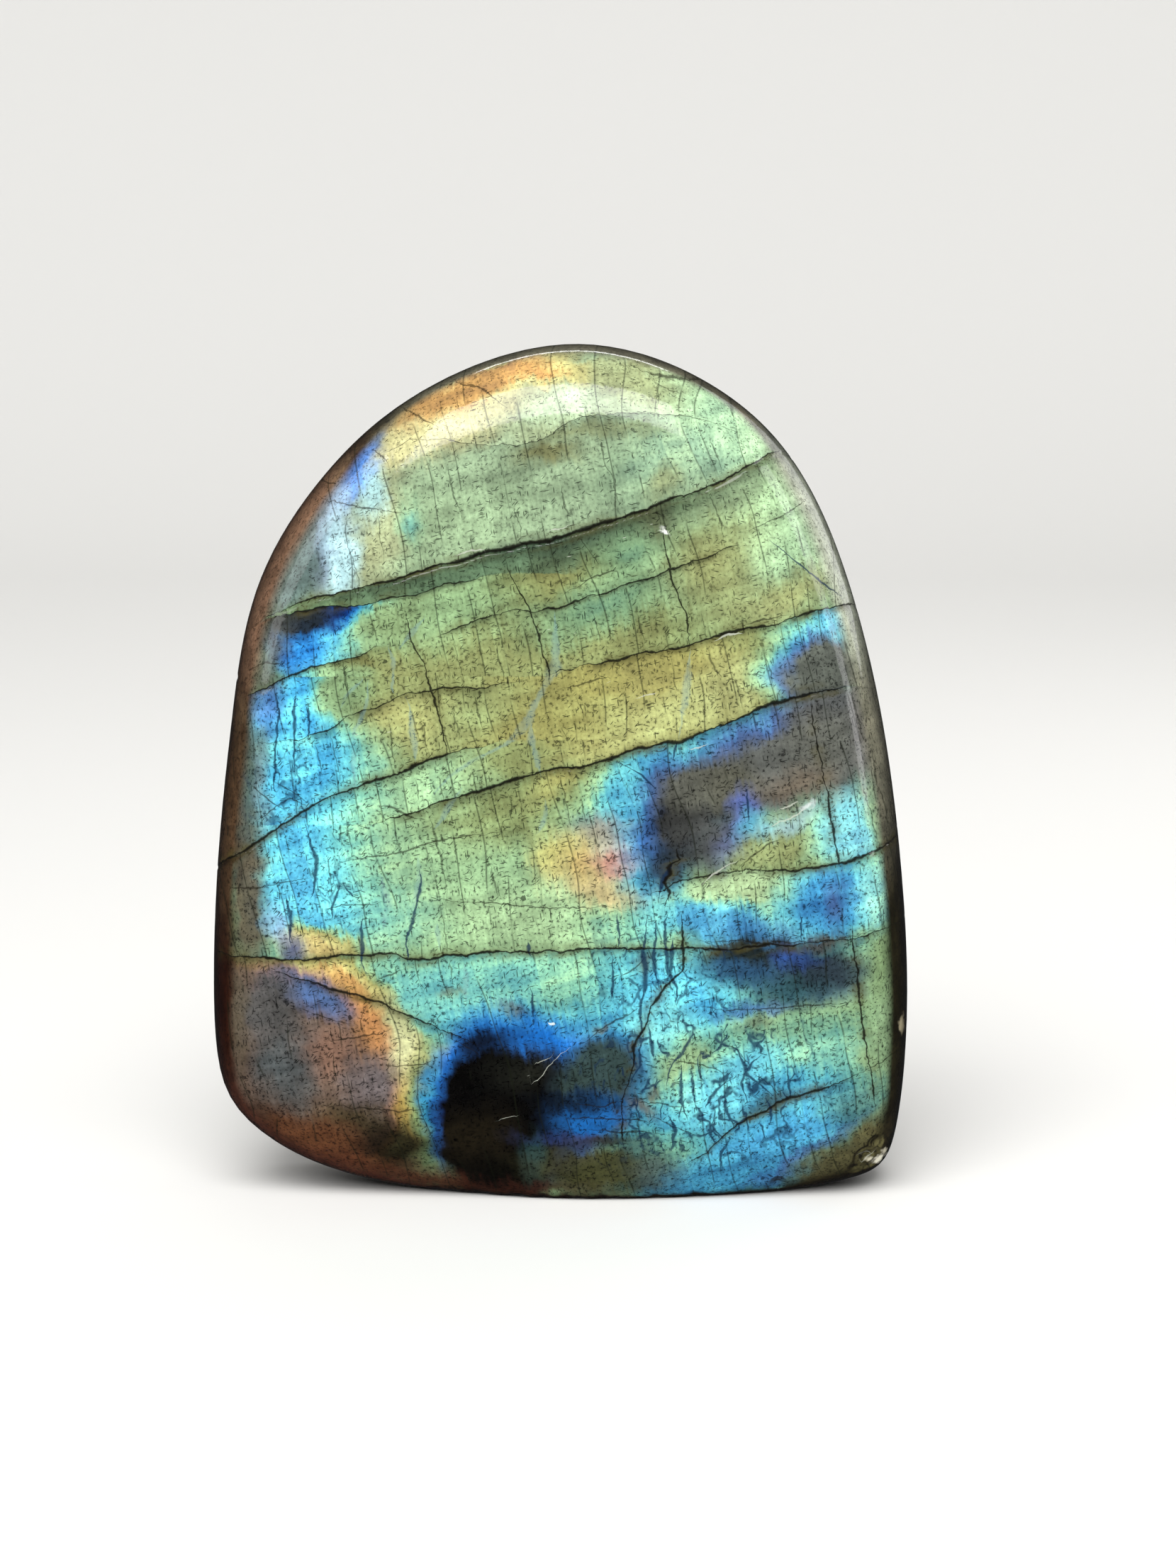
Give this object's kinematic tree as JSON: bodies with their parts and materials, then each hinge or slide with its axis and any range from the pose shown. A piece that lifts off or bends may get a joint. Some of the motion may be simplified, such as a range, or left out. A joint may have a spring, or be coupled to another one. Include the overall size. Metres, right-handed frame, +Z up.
{
  "type": "labradorite freeform",
  "caption": "Standing arched freeform of polished labradorite with a gently domed iridescent face, a fuller dark back and a flat ground base.",
  "frame": {"origin": "bottom centre of the stone's box, on the flat base it stands on", "axes": "+Z up the stone's height, +X across its width to the right as seen from the show face, -Y out of the show face"},
  "size_m": [0.0826, 0.0312, 0.0998],
  "materials": {
    "polished_labradorite": "polished"
  },
  "bodies": {
    "root": {"labradorite_stone": "polished_labradorite"}
  },
  "joints": []
}
